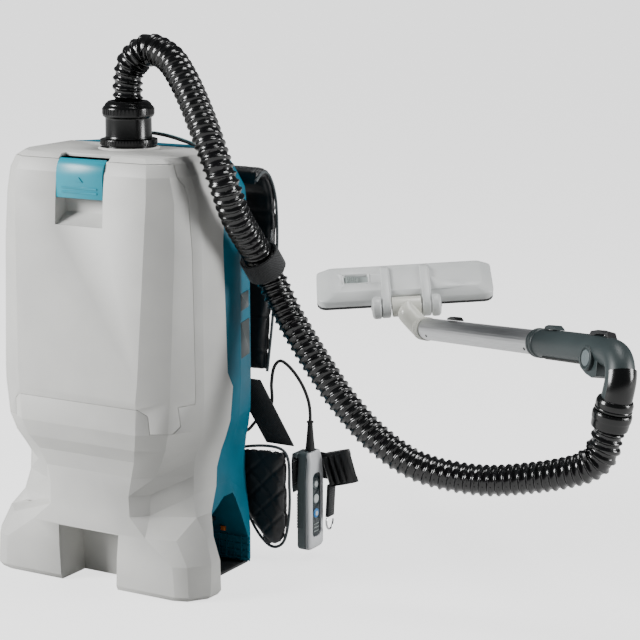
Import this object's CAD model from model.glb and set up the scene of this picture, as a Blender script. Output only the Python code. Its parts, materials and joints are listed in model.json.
# %% [markdown]
# # A battery backpack vacuum cleaner
# This lesson dresses a working model of a backpack vacuum cleaner. The working model, called the frame,
# already holds every part at its real size with its joints. Each step below says what a piece is on the
# real machine, how it could be made in Blender, and why one way was chosen.

# %% Start from the frame
import json
import math
import bmesh
import bpy
from mathutils import Matrix, Vector, noise


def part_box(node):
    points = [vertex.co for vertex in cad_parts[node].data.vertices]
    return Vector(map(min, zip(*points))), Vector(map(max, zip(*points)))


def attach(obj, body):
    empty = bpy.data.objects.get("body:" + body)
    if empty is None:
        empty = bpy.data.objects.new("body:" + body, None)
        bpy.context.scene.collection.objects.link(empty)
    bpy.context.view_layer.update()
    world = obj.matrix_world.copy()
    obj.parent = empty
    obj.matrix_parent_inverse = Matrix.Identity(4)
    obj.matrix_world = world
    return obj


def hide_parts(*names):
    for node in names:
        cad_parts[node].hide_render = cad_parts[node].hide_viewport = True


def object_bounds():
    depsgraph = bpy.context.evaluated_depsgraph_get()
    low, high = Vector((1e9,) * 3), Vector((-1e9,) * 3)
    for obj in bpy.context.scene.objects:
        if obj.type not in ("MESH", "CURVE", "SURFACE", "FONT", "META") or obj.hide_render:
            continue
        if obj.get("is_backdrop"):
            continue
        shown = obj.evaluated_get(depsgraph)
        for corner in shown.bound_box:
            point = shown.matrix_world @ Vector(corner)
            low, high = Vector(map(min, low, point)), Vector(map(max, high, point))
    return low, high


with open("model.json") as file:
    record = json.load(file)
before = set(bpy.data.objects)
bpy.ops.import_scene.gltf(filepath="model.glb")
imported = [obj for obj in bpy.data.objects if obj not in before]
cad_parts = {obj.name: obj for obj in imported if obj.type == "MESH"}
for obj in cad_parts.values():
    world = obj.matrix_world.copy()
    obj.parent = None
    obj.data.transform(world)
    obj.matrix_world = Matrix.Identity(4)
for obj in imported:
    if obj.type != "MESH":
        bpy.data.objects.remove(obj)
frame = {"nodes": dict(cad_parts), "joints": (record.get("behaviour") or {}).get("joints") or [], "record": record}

CAD_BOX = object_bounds()


def placed(name, data):
    """A new object in the scene."""
    item = bpy.data.objects.new(name, data)
    bpy.context.scene.collection.objects.link(item)
    return item


BODY_OF = {node: body for body, nodes in frame["record"]["behaviour"]["bodies"].items() for node in nodes}

# %% [markdown]
# ## The camera
# A long lens keeps the housing's edges nearly parallel, as in a catalogue picture. The camera stands to the
# right of the front and a little above it, and looks at a point between the housing and the handle.

# %% Camera
VIEW_AZIMUTH = math.radians(30.0)
VIEW_HEIGHT = math.radians(11.3)
VIEW_DISTANCE = 2.411
LOOK_AT = Vector((0.281, 0.0, 0.356))
TOWARDS_VIEWER = Vector((math.sin(VIEW_AZIMUTH) * math.cos(VIEW_HEIGHT),
                         -math.cos(VIEW_AZIMUTH) * math.cos(VIEW_HEIGHT), math.sin(VIEW_HEIGHT)))
camera = placed("camera", bpy.data.cameras.new("camera"))
camera.data.sensor_width = 36.0
camera.data.lens = 110.8
camera.location = LOOK_AT + TOWARDS_VIEWER * VIEW_DISTANCE
camera.rotation_euler = TOWARDS_VIEWER.to_track_quat("Z", "Y").to_euler()
bpy.context.scene.camera = camera
print("camera at", [round(c, 3) for c in camera.location])

# %% [markdown]
# ## The studio
# A pale floor and three large soft lights. The biggest stands on the left, so the front is bright and each
# corner facet falls off. A second one behind the right lights only the faces turned that way, which draws
# the facets apart, and one overhead gives the top faces and the hose their highlights.

# %% Floor and lights
def soft_light(name, place, aim, size, power):
    lamp = bpy.data.lights.new(name, "AREA")
    lamp.shape = "RECTANGLE"
    lamp.size, lamp.size_y = size
    lamp.energy = power
    item = placed(name, lamp)
    item.location = place
    item.rotation_euler = (Vector(place) - Vector(aim)).to_track_quat("Z", "Y").to_euler()


soft_light("key_light", (-2.3, -2.2, 1.7), (0.1, 0.0, 0.3), (1.3, 1.5), 235)
soft_light("side_light", (3.0, 1.1, 1.1), (0.1, 0.0, 0.3), (0.8, 1.5), 95)
soft_light("top_light", (0.5, 0.6, 3.2), (0.2, 0.0, 0.3), (1.6, 1.0), 50)
world = bpy.data.worlds.new("studio_air")
world.use_nodes = True
world.node_tree.nodes["Background"].inputs["Color"].default_value = (0.93, 0.95, 1.0, 1.0)
world.node_tree.nodes["Background"].inputs["Strength"].default_value = 0.10
bpy.context.scene.world = world
floor_mesh = bpy.data.meshes.new("floor")
floor_mesh.from_pydata([(-60, -60, 0), (60, -60, 0), (60, 60, 0), (-60, 60, 0)], [], [(0, 1, 2, 3)])
floor = placed("floor", floor_mesh)
floor.location.z = CAD_BOX[0].z - 0.0005
floor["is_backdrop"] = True
print("three lights and a floor")

# %% [markdown]
# ## Two small helpers for colours and nodes
# Colours are written as sRGB hex values, the way a paint chart gives them, and turned to linear light by
# one function. Another adds a node to a tree, sets its fields and feeds its sockets.

# %% Colour and node helpers
def linear(paint):
    parts = [int(paint[i:i + 2], 16) / 255 for i in (1, 3, 5)]
    return [c / 12.92 if c <= 0.04045 else ((c + 0.055) / 1.055) ** 2.4 for c in parts] + [1.0]


def add(tree, kind, feeds=None, **fields):
    node = tree.nodes.new(kind)
    for name, value in fields.items():
        setattr(node, name, value)
    for name, value in (feeds or {}).items():
        if isinstance(value, bpy.types.NodeSocket):
            tree.links.new(value, node.inputs[name])
        else:
            node.inputs[name].default_value = value
    return node


def maths(tree, operation, a, b=0.0, c=0.0):
    return add(tree, "ShaderNodeMath", {0: a, 1: b, 2: c}, operation=operation).outputs[0]


def finish_named(name, roughness=0.5, metallic=0.0, **sockets):
    """A new material: its shader, its tree and its Object coordinates."""
    material = bpy.data.materials.new(name)
    material.use_nodes = True
    tree = material.node_tree
    shader = tree.nodes["Principled BSDF"]
    for socket, value in {"Roughness": roughness, "Metallic": metallic, **sockets}.items():
        shader.inputs[socket.replace("_", " ")].default_value = value
    place = add(tree, "ShaderNodeTexCoord").outputs["Object"]
    return material, tree, shader, place


def two_tone(tree, shader, amount, light, dark, low=0.0, high=1.0):
    """Colour between two paints by an amount from 0 to 1."""
    ramp = add(tree, "ShaderNodeValToRGB", {"Fac": amount})
    ramp.color_ramp.elements[0].position = low
    ramp.color_ramp.elements[1].position = high
    ramp.color_ramp.elements[0].color = linear(dark)
    ramp.color_ramp.elements[1].color = linear(light)
    tree.links.new(ramp.outputs["Color"], shader.inputs["Base Color"])


def relief(tree, shader, height, depth_mm, strength=1.0):
    """Bump of a real depth in millimetres."""
    bump = add(tree, "ShaderNodeBump",
               {"Height": height, "Strength": strength, "Distance": depth_mm / 1000})
    tree.links.new(bump.outputs["Normal"], shader.inputs["Normal"])


def cells_per_metre(size_mm):
    """A noise or Voronoi scale whose features are about this size."""
    return 1000.0 / size_mm


def cloudy(tree, place, size_mm, detail):
    """Soft noise whose features are about this size, as an amount from 0 to 1."""
    return add(tree, "ShaderNodeTexNoise",
               {"Vector": place, "Scale": cells_per_metre(size_mm), "Detail": detail}).outputs["Fac"]


def gloss_between(tree, shader, amount, low, high):
    """Roughness that follows an amount, from low to high."""
    gloss = add(tree, "ShaderNodeMapRange", {"Value": amount, "To Min": low, "To Max": high})
    tree.links.new(gloss.outputs["Result"], shader.inputs["Roughness"])


print("teal as linear light:", [round(c, 3) for c in linear("#00727F")])

# %% [markdown]
# ## Moulded plastics
# Most of the machine is injection-moulded ABS or polypropylene. The mould is spark-eroded, which leaves a
# fine even grain, so highlights are broad and soft. The grain is drawn at 0.9 mm, because anything finer is
# lost at this distance. Handling also polishes and soils a shell unevenly, so the colour and the gloss
# drift a little over hand-sized patches.

# %% Moulded plastic
HANDLED_PATCH_MM = 60
GLOSS_DRIFT = 0.06


def moulded(name, light, dark, roughness, grain_mm=0.9, grain_depth_mm=0.03, **sockets):
    material, tree, shader, place = finish_named(name, roughness, **sockets)
    drift = cloudy(tree, place, HANDLED_PATCH_MM, 3.0)
    two_tone(tree, shader, drift, light, dark, 0.3, 0.7)
    gloss_between(tree, shader, drift, roughness - GLOSS_DRIFT, roughness + GLOSS_DRIFT)
    relief(tree, shader, cloudy(tree, place, grain_mm, 2.0), grain_depth_mm)
    return material


GREY_ABS = moulded("light_grey_abs", "#CBCBC7", "#C2C2BF", 0.50)
TEAL_ABS = moulded("teal_abs", "#00637A", "#005468", 0.55, Specular_IOR_Level=0.3)
LATCH_ABS = moulded("latch_teal_abs", "#0092A8", "#00869A", 0.34, grain_depth_mm=0.01)
BLACK_PP = moulded("black_polypropylene", "#17191A", "#101112", 0.46)
GLOSS_PP = moulded("glossy_black_polypropylene", "#0D0E0E", "#090A0A", 0.20, grain_depth_mm=0.008)
HANDLE_PP = moulded("handle_grey_polypropylene", "#2E3839", "#283233", 0.46)
NOZZLE_ABS = moulded("nozzle_light_grey_abs", "#CACCCB", "#BFC2C1", 0.34, grain_depth_mm=0.015)
NECK_POM = moulded("off_white_acetal", "#D8D8CF", "#CDCDC2", 0.22, grain_depth_mm=0.006)
SWITCH_PP = moulded("switch_grey_polypropylene", "#8D9593", "#828B88", 0.5)
REMOTE_DARK = moulded("remote_slate_abs", "#667173", "#5A6567", 0.44)
REMOTE_LIGHT = moulded("remote_face_abs", "#D2D4D6", "#C9CBCD", 0.36, grain_depth_mm=0.012)
KEYPAD_SHEET = moulded("keypad_dark_polycarbonate", "#202C31", "#1A2529", 0.24, grain_depth_mm=0.006)
KEY_PALE = moulded("pale_silicone_key", "#C9CFCF", "#BAC1C1", 0.5)
KEY_BLUE = moulded("blue_silicone_key", "#2F7FC4", "#2670B2", 0.45)
PLATE_FOIL = moulded("blank_plate_dark_polyester", "#16282C", "#112226", 0.32, grain_depth_mm=0.006)
CONTACT_ORANGE = moulded("signal_orange_abs", "#E0701C", "#CF6416", 0.4)
print("moulded plastics:", len(bpy.data.materials))

# %% [markdown]
# ## Rubber, metal, cloth and paper
# Rubber is matt, with a slight bloom. The pipe is drawn and satin-anodised aluminium: fine lines run along
# it, which stretch each highlight across the tube. The harness is polyester cloth and nylon webbing:
# threads cross over and under, about every 1.2 mm on the webbing, and a weak sheen stands at the edges.

# %% Rubber and metal
def rubbery(name, paint, bloom):
    material, tree, shader, place = finish_named(name, 0.7)
    two_tone(tree, shader, cloudy(tree, place, 12, 5.0), bloom, paint, 0.35, 0.8)
    relief(tree, shader, cloudy(tree, place, 1.2, 2.0), 0.04)
    return material


def drawn_metal(name, light, dark, roughness, axis, line_mm=0.8):
    """Metal with fine lines along an axis: the noise is stretched that way."""
    material, tree, shader, place = finish_named(name, roughness, 1.0)
    turn = Vector(axis).to_track_quat("Z", "Y").inverted().to_euler()
    turned = add(tree, "ShaderNodeMapping", {"Vector": place, "Rotation": turn})
    squeezed = add(tree, "ShaderNodeMapping", {"Vector": turned.outputs[0], "Scale": (1.0, 1.0, 0.02)})
    lines = cloudy(tree, squeezed.outputs[0], line_mm, 3.0)
    two_tone(tree, shader, lines, light, dark, 0.3, 0.7)
    gloss_between(tree, shader, lines, roughness - 0.06, roughness + 0.08)
    relief(tree, shader, lines, 0.012)
    return material


joints = {joint["name"]: joint for joint in frame["joints"]}
PIPE_AXIS = Vector(joints["neck_swivel"]["axis"]).normalized()
SWIVEL_AXIS = Vector(joints["handle_swivel"]["axis"]).normalized()
SWIVEL_POINT = Vector(joints["handle_swivel"]["pos_m"])
AXLE_AXIS = Vector(joints["neck_tilt"]["axis"]).normalized()
AXLE_POINT = Vector(joints["neck_tilt"]["pos_m"])
BLACK_RUBBER = rubbery("black_rubber", "#141414", "#1E1F1F")
ANODISED = drawn_metal("satin_anodised_aluminium", "#DCDDDE", "#C6C7C8", 0.40, PIPE_AXIS)
STEEL = drawn_metal("ground_steel", "#C9CACA", "#A8A9AA", 0.24, (1, 0, 0), 0.5)
print("metals and rubber made; the pipe's lines run along", [round(c, 2) for c in PIPE_AXIS])

# %% Cloth, webbing and paper
def woven(name, light, dark, thread_mm, roughness=0.75, depth_mm=0.25, sheen=0.25, axes=(0, 2)):
    """Threads over and under: two crossed waves in the plane of the two axes given."""
    material, tree, shader, place = finish_named(name, roughness, Sheen_Weight=sheen, Sheen_Roughness=0.4)
    split = add(tree, "ShaderNodeSeparateXYZ", {"Vector": place})
    turns = math.pi * cells_per_metre(thread_mm)
    waves = [maths(tree, "SINE", maths(tree, "MULTIPLY", split.outputs[i], turns)) for i in axes]
    weave = maths(tree, "MULTIPLY", waves[0], waves[1])
    height = maths(tree, "MULTIPLY_ADD", weave, 0.5, cloudy(tree, place, 0.8, 3.0))
    two_tone(tree, shader, height, light, dark, 0.1, 1.0)
    relief(tree, shader, height, depth_mm)
    return material


NYLON = woven("black_nylon_webbing", "#26282A", "#0B0C0D", 1.6)
PAD_CLOTH = woven("coated_black_polyester", "#202225", "#0A0B0D", 1.1, 0.46, 0.12, 0.15)
MESH_CLOTH = woven("black_spacer_mesh", "#2A2D30", "#050606", 3.0, 0.85, 0.6, 0.3)
PIPING = woven("grey_piping_tape", "#565C5E", "#3C4244", 0.9, 0.7, 0.1, 0.2, (1, 2))
TEAL_TAPE = woven("grey_teal_tape", "#5E8B91", "#476E74", 1.2, 0.7, 0.1, 0.2, (0, 1))
BAG_FLEECE = woven("filter_bag_fleece", "#D6D4CC", "#BDBAB0", 2.2, 0.9, 0.3, 0.2)


def pleated_paper(name, light, dark):
    material, tree, shader, place = finish_named(name, 0.88)
    fibres = cloudy(tree, place, 1.5, 6.0)
    two_tone(tree, shader, fibres, light, dark, 0.3, 0.75)
    relief(tree, shader, fibres, 0.08)
    return material


FILTER_PAPER = pleated_paper("filter_paper", "#E4E0D3", "#CFCABA")
BOARD_GREEN = moulded("circuit_board_laminate", "#1C5A32", "#164A29", 0.35, 2.5)
floor_material, floor_tree, floor_shader, floor_place = finish_named("matt_white_floor", 0.85)
paper_noise = add(floor_tree, "ShaderNodeTexNoise", {"Vector": floor_place, "Scale": 3.0})
# The floor glows for the camera and, weaker, in reflections. Dull surfaces get none of that light.
two_tone(floor_tree, floor_shader, paper_noise.outputs["Fac"], "#A8A8A7", "#A2A2A1")
rays = add(floor_tree, "ShaderNodeLightPath").outputs
seen = maths(floor_tree, "MULTIPLY_ADD", rays["Is Glossy Ray"], 0.35, rays["Is Camera Ray"])
floor_shader.inputs["Emission Color"].default_value = (1.0, 1.0, 1.0, 1.0)
floor_tree.links.new(maths(floor_tree, "MULTIPLY", seen, 1.8), floor_shader.inputs["Emission Strength"])
floor_mesh.materials.append(floor_material)
print("cloths, papers and the floor are made")

# %% [markdown]
# ## The hose
# The real hose is a thin black wall with a moulded helix, so its outside is a screw thread of rounded ribs
# about 10 mm apart, crossed by fine lengthwise flutes. It could be a displaced cylinder bent by a curve
# modifier, but then the ribs would stretch at the arch. Geometry Nodes sweep a fine circle along the route
# and push each point out by a wave of its distance along the hose, so every rib keeps its pitch whatever
# the bend.

# %% Hose route
HOSE_ROUTE = [
    (0.000, 0.000, 0.6126), (0.000, 0.000, 0.635), (0.006, 0.001, 0.660), (0.030, 0.003, 0.678),
    (0.063, 0.000, 0.668), (0.092, -0.012, 0.644), (0.121, -0.027, 0.611), (0.152, -0.044, 0.568),
    (0.172, -0.046, 0.524), (0.178, -0.028, 0.480), (0.181, 0.008, 0.437), (0.187, 0.034, 0.400),
    (0.208, 0.040, 0.355), (0.232, 0.036, 0.324), (0.268, 0.028, 0.285), (0.303, 0.024, 0.248),
    (0.349, 0.025, 0.208), (0.405, 0.031, 0.179), (0.478, 0.045, 0.170), (0.545, 0.055, 0.180),
    (0.594, 0.059, 0.194), (0.620, 0.060, 0.207), (0.631, 0.060, 0.222), (0.6344, 0.060, 0.2377),
    (0.6373, 0.060, 0.2515),
]
CABLE_ROUTE = [
    (0.104, 0.1004, 0.170), (0.106, 0.112, 0.170), (0.113, 0.118, 0.180), (0.1365, 0.120, 0.205),
    (0.1375, 0.120, 0.235), (0.1400, 0.122, 0.256), (0.1470, 0.125, 0.266), (0.157, 0.127, 0.262),
    (0.169, 0.130, 0.249), (0.179, 0.133, 0.232), (0.186, 0.1345, 0.213), (0.188, 0.135, 0.197),
    (0.188, 0.135, 0.1859),
]


def smooth_path(points, spacing):
    """Even points on a Catmull-Rom curve through the given ones, and the curve's length."""
    points = [Vector(point) for point in points]
    knots = [2 * points[0] - points[1], *points, 2 * points[-1] - points[-2]]
    fine = []
    for a, b, c, d in zip(knots, knots[1:], knots[2:], knots[3:]):
        for step in range(24):
            t = step / 24
            fine.append(0.5 * (2 * b + (c - a) * t + (2 * a - 5 * b + 4 * c - d) * t**2
                               + (3 * b - a - 3 * c + d) * t**3))
    fine.append(points[-1])
    gone = [0.0]
    for a, b in zip(fine, fine[1:]):
        gone.append(gone[-1] + (b - a).length)
    count = max(2, round(gone[-1] / spacing) + 1)
    even, at = [], 0
    for step in range(count):
        wanted = gone[-1] * step / (count - 1)
        while at < len(fine) - 2 and gone[at + 1] < wanted:
            at += 1
        span = gone[at + 1] - gone[at]
        even.append(fine[at].lerp(fine[at + 1], min((wanted - gone[at]) / span, 1.0) if span else 0.0))
    return even, gone[-1]


hose_line, hose_length = smooth_path(HOSE_ROUTE, 0.008)
cable_line, cable_length = smooth_path(CABLE_ROUTE, 0.004)
print("hose", round(hose_length, 3), "m, control cable", round(cable_length, 3), "m")

# %% Helpers for pieces and for Geometry Nodes
def line_object(name, points, closed=False):
    curve = bpy.data.curves.new(name, "CURVE")
    curve.dimensions = "3D"
    spline = curve.splines.new("POLY")
    spline.points.add(len(points) - 1)
    for knot, point in zip(spline.points, points):
        knot.co = (*point, 1.0)
    spline.use_cyclic_u = closed
    return placed(name, curve)


def geometry_tree(name, inputs):
    """An empty tree with named inputs, and its input node's sockets by name."""
    tree = bpy.data.node_groups.new(name, "GeometryNodeTree")
    tree.interface.new_socket("Geometry", in_out="INPUT", socket_type="NodeSocketGeometry")
    for label, kind in inputs:
        tree.interface.new_socket(label, in_out="INPUT", socket_type="NodeSocket" + kind)
    tree.interface.new_socket("Geometry", in_out="OUTPUT", socket_type="NodeSocketGeometry")
    return tree, tree.nodes.new("NodeGroupInput").outputs


def end_tree(tree, geometry, material):
    """Every tree ends the same way: real geometry with its material."""
    real = add(tree, "GeometryNodeRealizeInstances", {"Geometry": geometry}).outputs[0]
    painted = add(tree, "GeometryNodeSetMaterial", {"Geometry": real, "Material": material}).outputs[0]
    add(tree, "NodeGroupOutput", {"Geometry": painted})


def stepped(tree, given):
    """Even points along the given line."""
    return add(tree, "GeometryNodeResampleCurve", {"Curve": given["Geometry"], "Length": given["Step"]},
               mode="LENGTH").outputs[0]


def xyz(tree, **parts):
    return add(tree, "ShaderNodeCombineXYZ", parts).outputs[0]


def thread_of(tree, start, end, radius, sides):
    """One short round thread, to be set on many points."""
    line = add(tree, "GeometryNodeCurvePrimitiveLine", {"Start": start, "End": end}).outputs[0]
    ring = add(tree, "GeometryNodeCurvePrimitiveCircle", {"Resolution": sides, "Radius": radius}).outputs[0]
    return add(tree, "GeometryNodeCurveToMesh",
               {"Curve": line, "Profile Curve": ring, "Fill Caps": True}).outputs[0]


def set_on(tree, points, piece, **turn):
    """The piece on every point, turned if a Rotation is given."""
    return add(tree, "GeometryNodeInstanceOnPoints", {"Points": points, "Instance": piece, **turn}).outputs[0]


def grown(name, source, tree, values, smooth=True):
    """Runs a tree on an object with values for its named inputs, and keeps the result as a plain mesh."""
    modifier = source.modifiers.new(tree.name, "NODES")
    modifier.node_group = tree
    for socket in tree.interface.items_tree:
        if socket.in_out == "INPUT" and socket.name in values:
            modifier[socket.identifier] = values[socket.name]
    bpy.context.view_layer.update()
    mesh = bpy.data.meshes.new_from_object(source.evaluated_get(bpy.context.evaluated_depsgraph_get()))
    mesh.name = name
    bpy.data.objects.remove(source, do_unlink=True)
    item = placed(name, mesh)
    if smooth:
        mesh.shade_smooth()
        mesh.set_sharp_from_angle(angle=math.radians(40))
    print(name, len(mesh.polygons), "faces")
    return item


def finished(item, body, slot, *nodes):
    """The calls that most pieces need: what it moves with, its slot, and the frame's nodes it stands for."""
    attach(item, body)
    if nodes:
        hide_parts(*nodes)
    return item


print("helpers ready")

# %% Ribbed hose tree
FLUTES = 20
ribs, given = geometry_tree("ribbed_hose", [("Radius", "Float"), ("Pitch", "Float"), ("Rib height", "Float"),
                                            ("Flute height", "Float"), ("Step", "Float"), ("Sides", "Int")])
gone = add(ribs, "GeometryNodeCaptureAttribute", {"Geometry": stepped(ribs, given)})
gone.capture_items.new("FLOAT", "Distance")
ribs.links.new(add(ribs, "GeometryNodeSplineParameter").outputs["Length"], gone.inputs["Distance"])
ring = add(ribs, "GeometryNodeCurvePrimitiveCircle",
           {"Resolution": given["Sides"], "Radius": given["Radius"]})
turn = add(ribs, "GeometryNodeCaptureAttribute", {"Geometry": ring.outputs[0]})
turn.capture_items.new("FLOAT", "Turn")
ribs.links.new(add(ribs, "GeometryNodeSplineParameter").outputs["Factor"], turn.inputs["Turn"])
swept = add(ribs, "GeometryNodeCurveToMesh", {"Curve": gone.outputs[0], "Profile Curve": turn.outputs[0],
                                              "Fill Caps": True})
turns_along = maths(ribs, "ADD", maths(ribs, "DIVIDE", gone.outputs["Distance"], given["Pitch"]),
                    turn.outputs["Turn"])
wave = maths(ribs, "COSINE", maths(ribs, "MULTIPLY", turns_along, 2 * math.pi))
crest = maths(ribs, "SMOOTH_MAX", maths(ribs, "MULTIPLY_ADD", wave, 0.75, 0.25), 0.0, 0.25)
rib = maths(ribs, "MULTIPLY", maths(ribs, "SUBTRACT", crest, 1.0), given["Rib height"])
side_wave = maths(ribs, "COSINE", maths(ribs, "MULTIPLY", turn.outputs["Turn"], 2 * math.pi * FLUTES))
flute = maths(ribs, "MULTIPLY", side_wave, given["Flute height"])
outwards = add(ribs, "ShaderNodeVectorMath", {0: add(ribs, "GeometryNodeInputNormal").outputs[0],
                                              "Scale": maths(ribs, "ADD", rib, flute)}, operation="SCALE")
pushed = add(ribs, "GeometryNodeSetPosition", {"Geometry": swept.outputs[0], "Offset": outwards.outputs[0]})


def hose_plastic():
    """Blow-moulded black polyethylene, glossy, with a haze of duller patches."""
    material, tree, shader, place = finish_named("glossy_black_hose_polyethylene", 0.2, Coat_Weight=0.25,
                                                 Coat_Roughness=0.12)
    haze = cloudy(tree, place, 14, 4.0)
    two_tone(tree, shader, haze, "#111213", "#070708", 0.3, 0.75)
    gloss_between(tree, shader, haze, 0.14, 0.27)
    relief(tree, shader, cloudy(tree, place, 3, 2.0), 0.12)
    return material


HOSE_PLASTIC = hose_plastic()
end_tree(ribs, pushed.outputs[0], HOSE_PLASTIC)
HOSE_RADIUS = 0.0195
hose = grown("ribbed_hose", line_object("hose_route", hose_line), ribs,
             {"Radius": HOSE_RADIUS, "Pitch": 0.0100, "Rib height": 0.0030, "Flute height": 0.00012,
              "Step": 0.0010, "Sides": 40})
finished(hose, "housing", "hose", "hose")

# %% Control cable
CABLE_RADIUS = 0.0022
cable = line_object("control_lead", cable_line)
cable.data.bevel_depth = CABLE_RADIUS
cable.data.bevel_resolution = 4
cable.data.use_fill_caps = True
cable.data.materials.append(BLACK_RUBBER)
finished(cable, "housing", "rubber", "control_cable")
print("cable", round(cable_length, 3), "m")

# %% [markdown]
# ## Moulded shells
# The frame's shells are faceted solids with knife edges. On the real housing each edge is rounded by 2 to 5
# mm, and that thin bright line along every edge is what makes it look moulded. A copy of each shell has its
# doubled points merged and a Bevel added, which keeps the flat facets flat and rounds only what is sharp.

# %% Rounded copies of the frame's solids
def copy_of(node, name=None):
    """A merged copy of a frame's solid, ready for modifiers."""
    mesh = frame["nodes"][node].data.copy()
    shape = bmesh.new()
    shape.from_mesh(mesh)
    bmesh.ops.remove_doubles(shape, verts=shape.verts, dist=0.00002)
    bmesh.ops.dissolve_limit(shape, angle_limit=math.radians(0.6), verts=shape.verts, edges=shape.edges)
    shape.to_mesh(mesh)
    shape.free()
    mesh.materials.clear()
    return placed(name or node + "_moulded", mesh)


def applied(item):
    """Bakes an object's modifiers into its mesh."""
    bpy.context.view_layer.update()
    mesh = bpy.data.meshes.new_from_object(item.evaluated_get(bpy.context.evaluated_depsgraph_get()))
    item.modifiers.clear()
    item.data = mesh
    return item


def bevelled(item, width, segments, angle):
    """Rounds the edges that turn by more than an angle in degrees, and keeps flat faces flat."""
    edge = item.modifiers.new("rounded_edges", "BEVEL")
    edge.width = width
    edge.segments = segments
    edge.limit_method = "ANGLE"
    edge.angle_limit = math.radians(angle)
    edge.harden_normals = True
    return applied(item)


def rounded(node, material, slot, width, segments, angle, name=None):
    item = copy_of(node, name)
    item.data.materials.append(material)
    bevelled(item, width, segments, angle)
    item.data.shade_smooth()
    item.data.set_sharp_from_angle(angle=math.radians(34))
    return finished(item, BODY_OF[node], slot, node)


front_shell = rounded("front_housing", GREY_ABS, "grey_shell", 0.0030, 3, 12)
rear_shell = rounded("rear_housing", TEAL_ABS, "teal_shell", 0.0022, 3, 12)
cover_shell = rounded("front_cover", GREY_ABS, "grey_shell", 0.0014, 3, 10)
latch_shell = rounded("cover_latch", LATCH_ABS, "latch", 0.0010, 3, 20)
print("shells:", [len(item.data.polygons) for item in (front_shell, rear_shell, cover_shell, latch_shell)])

# %% [markdown]
# ## The padded harness
# Shoulder straps, waist pads and the back pad are foam sewn into cloth. Each pad bulges between its seams
# and pulls in along them. A box with rounded edges never looks soft, so each pad is inflated: the frame's
# plain solid is remeshed evenly, shrunk a little and given a short cloth simulation with air pressure
# inside. The sewn channels are pressed in afterwards, because a remesh would wipe them out.

# %% Inflate a pad and sew its channels
def even_skin(item, cell):
    remesh = item.modifiers.new("even_skin", "REMESH")
    remesh.mode = "VOXEL"
    remesh.voxel_size = cell
    return applied(item)


def inflated(item, pressure, cap, frames=14):
    """Swells a closed cloth skin by air pressure, and lets no point move further than cap."""
    rest = [vertex.co.copy() for vertex in item.data.vertices]
    cloth = item.modifiers.new("stuffing", "CLOTH")
    cloth.settings.use_pressure = True
    cloth.settings.uniform_pressure_force = pressure
    cloth.settings.effector_weights.gravity = 0.0
    cloth.settings.quality = 4
    cloth.point_cache.frame_end = frames
    for step in range(1, frames + 1):
        bpy.context.scene.frame_set(step)
    applied(item)
    for vertex, start in zip(item.data.vertices, rest):
        move = vertex.co - start
        if move.length > cap:
            vertex.co = start + move.normalized() * cap
    bpy.context.scene.frame_set(1)
    return item


def sewn_pad(node, name, cloth, slot, channel_depth, shrink=0.0022, cap=0.0036, crumple=0.0007):
    """A padded piece. channel_depth(point) is how deep a seam presses the cloth there, in metres."""
    item = even_skin(copy_of(node, name), 0.0045)
    item.data.materials.append(cloth)
    for vertex, normal in zip(item.data.vertices, [v.normal.copy() for v in item.data.vertices]):
        vertex.co -= normal * shrink
    inflated(item, 4.0, cap)
    finer = item.modifiers.new("finer_cloth", "SUBSURF")
    finer.levels = finer.render_levels = 1
    applied(item)
    normals = [vertex.normal.copy() for vertex in item.data.vertices]
    for vertex, normal in zip(item.data.vertices, normals):
        fold = noise.noise(vertex.co * 55.0) + 0.5 * noise.noise(vertex.co * 130.0)
        vertex.co += normal * (crumple * fold - channel_depth(vertex.co))
    item.data.shade_smooth()
    finished(item, BODY_OF[node], slot, node)
    print(name, len(item.data.polygons), "faces")
    return item


def groove(distance, width, depth):
    """The depth of a sewn groove at a distance from its middle."""
    return depth * math.exp(-(distance / width) ** 2)


def repeat_distance(value, pitch):
    """How far a value is from the nearest multiple of a pitch."""
    return abs((value / pitch + 0.5) % 1.0 - 0.5) * pitch


QUILT_PITCH = 0.034
STRAP_MIDDLE = 0.0990
STRAP_SEAM_OFFSET = 0.0240
STRAP_CHANNEL_PITCH = 0.046
BACK_CHANNEL_PITCH = 0.065


def quilted(point):
    """A lozenge of two crossed sets of seams, 24 mm apart."""
    first = repeat_distance(point.x + point.z, QUILT_PITCH)
    second = repeat_distance(point.x - point.z, QUILT_PITCH)
    return groove(min(first, second), 0.0022, 0.0016)


def strap_seams(point):
    edge = abs(abs(abs(point.x) - STRAP_MIDDLE) - STRAP_SEAM_OFFSET)
    across = repeat_distance(point.z, STRAP_CHANNEL_PITCH)
    return max(groove(edge, 0.0018, 0.0013), groove(across, 0.0024, 0.0014))


def back_seams(point):
    across = repeat_distance(point.z, BACK_CHANNEL_PITCH)
    return max(groove(across, 0.0035, 0.0030), groove(abs(point.x), 0.0050, 0.0040))


for side in ("right", "left"):
    sewn_pad("shoulder_strap_" + side, "shoulder_pad_" + side, PAD_CLOTH, "padding", strap_seams)
    sewn_pad("waist_pad_" + side, "waist_cushion_" + side, PAD_CLOTH, "padding", quilted, cap=0.0044)
sewn_pad("back_pad", "back_cushion", MESH_CLOTH, "padding", back_seams, crumple=0.0003)

# %% [markdown]
# ## Piping, webbing and stitches
# Grey piping is a cord inside a folded tape, sewn round the edge of each pad, and it is what draws the
# harness's outline. Stitches are too many to place by hand: one Geometry Nodes tree walks along any line
# and lays a short rounded thread at every step, turned along the line.

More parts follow.
